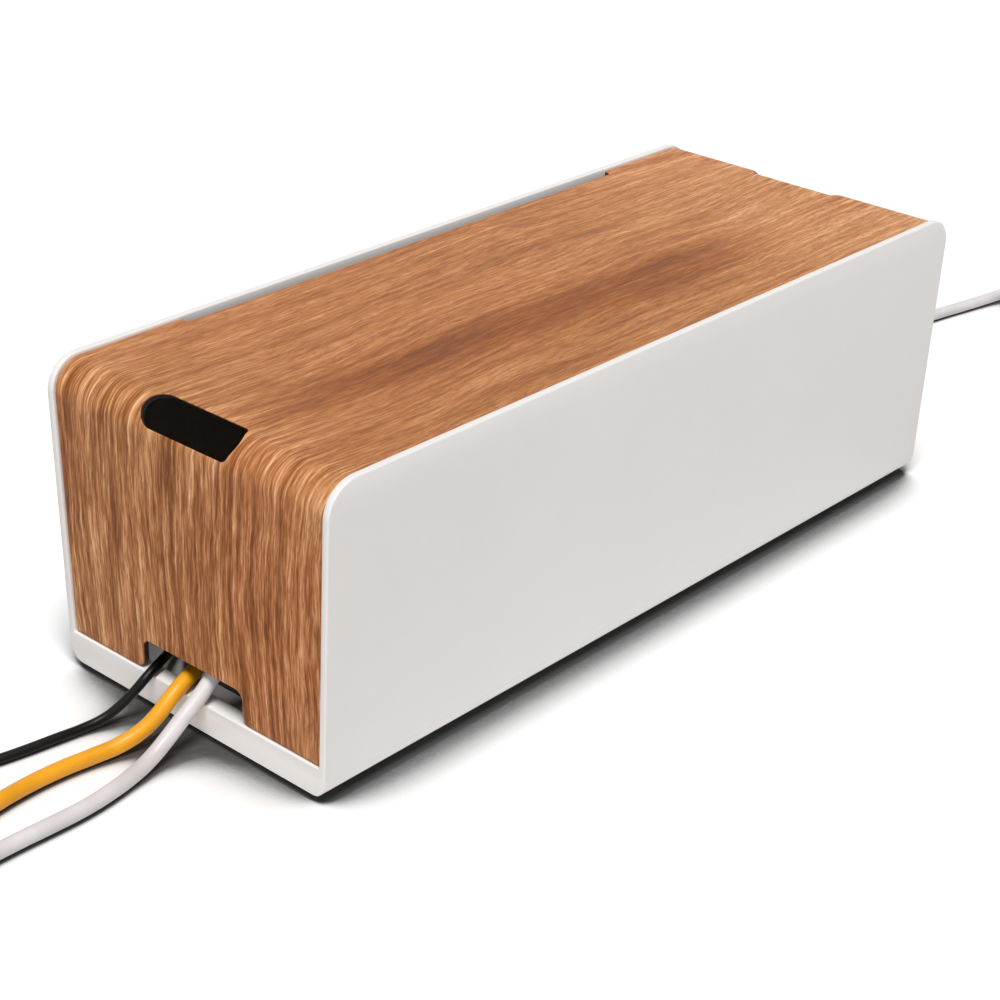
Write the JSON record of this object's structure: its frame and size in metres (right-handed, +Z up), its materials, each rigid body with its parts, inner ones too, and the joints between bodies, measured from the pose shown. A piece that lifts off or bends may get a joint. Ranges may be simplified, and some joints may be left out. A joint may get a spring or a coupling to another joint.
{
  "type": "cable management box",
  "caption": "Long white box with a lift-off wood-grain lid, finger slots, end notches for cords, and a power strip with plugs inside.",
  "frame": {"origin": "centre of the box's footprint on the surface it stands on, at the undersides of its feet", "axes": "+X along the box towards the end where the mains lead leaves, +Y towards the lid's edge with the long cut-out, +Z up"},
  "size_m": [0.9475, 0.2185, 0.135],
  "materials": {
    "box_white": "satin moulded white",
    "wood_lid": "warm brown straight wood grain, satin",
    "foot_rubber": "matt",
    "strip_grey": "fine matt texture",
    "socket_black": "smooth matt",
    "brass_parts": "bare sheet brass",
    "screw_steel": "zinc plated",
    "rocker_red": "glossy",
    "white_flex": "soft satin jacket",
    "yellow_flex": "soft satin jacket",
    "black_flex": "soft satin jacket",
    "wire_brown": "smooth insulation",
    "wire_blue": "smooth insulation",
    "wire_green": "smooth insulation",
    "pin_metal": "nickel plated",
    "adaptor_black": "fine matt texture"
  },
  "bodies": {
    "base": {"base_shell": "box_white", "foot_1": "foot_rubber", "foot_2": "foot_rubber", "foot_3": "foot_rubber", "foot_4": "foot_rubber", "strip_base": "strip_grey", "strip_cover": "strip_grey", "socket_1": "socket_black", "socket_2": "socket_black", "socket_3": "socket_black", "socket_4": "socket_black", "socket_5": "socket_black", "earth_clips": "brass_parts", "earth_bar": "brass_parts", "live_bar": "brass_parts", "neutral_bar": "brass_parts", "strip_screws": "screw_steel", "switch_frame": "socket_black", "switch_tabs": "brass_parts", "mains_relief": "white_flex", "live_wire": "wire_brown", "switched_wire": "wire_brown", "neutral_wire": "wire_blue", "earth_wire": "wire_green", "white_plug": "white_flex", "white_plug_pins": "pin_metal", "yellow_plug": "yellow_flex", "yellow_plug_pins": "pin_metal", "adaptor": "adaptor_black", "adaptor_pins": "pin_metal", "black_cord": "black_flex", "black_coil": "black_flex", "black_connector": "black_flex", "black_connector_barrel": "pin_metal", "yellow_cord": "yellow_flex", "yellow_coil": "yellow_flex", "yellow_connector": "yellow_flex", "white_cord": "white_flex", "white_coil": "white_flex", "white_connector": "white_flex", "mains_cord": "white_flex", "mains_coil": "white_flex", "mains_plug": "white_flex", "mains_plug_pins": "pin_metal"},
    "lid": {"lid": "wood_lid"},
    "switch_rocker": {"switch_rocker": "rocker_red"}
  },
  "joints": [
    {"name": "lid_lift", "type": "slide", "parent": "base", "child": "lid", "axis": [0, 0, 1], "range_m": [0, 0.13]},
    {"name": "rocker_tilt", "type": "hinge", "parent": "base", "child": "switch_rocker", "pos_m": [0.10315, 0, 0.046], "axis": [0, -1, 0], "range_deg": [0, 18]}
  ]
}
